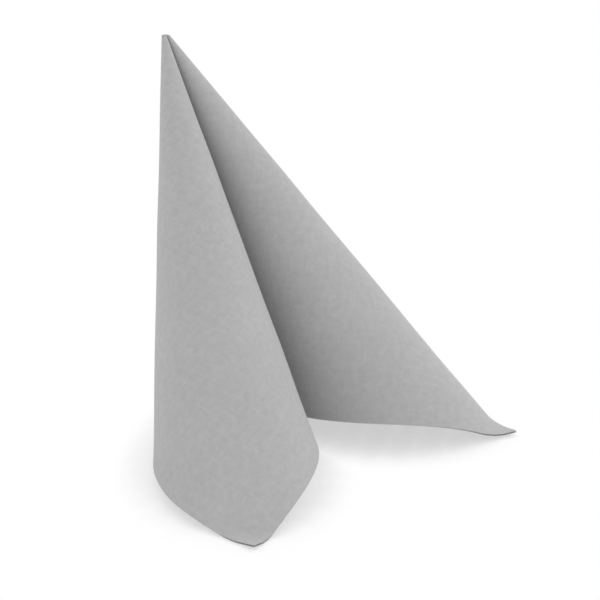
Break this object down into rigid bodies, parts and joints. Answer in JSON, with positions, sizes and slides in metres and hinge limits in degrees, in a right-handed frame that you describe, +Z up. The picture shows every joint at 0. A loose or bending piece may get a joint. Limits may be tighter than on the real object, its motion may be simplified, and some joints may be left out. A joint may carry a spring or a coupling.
{
  "type": "paper napkin",
  "caption": "Square paper napkin folded into a pointed, free-standing table fan: two soft lobes open like a book from one upright spine.",
  "frame": {"origin": "under the middle of the napkin, on the surface it stands on", "axes": "+Z up; +Y towards the back, where the upright spine is; +X to the right of someone looking at the open valley from the front; both wings run towards -Y"},
  "size_m": [0.193, 0.1796, 0.1993],
  "materials": {
    "paper": "matte, soft and fibrous"
  },
  "bodies": {
    "root": {"napkin": "paper"}
  },
  "joints": []
}
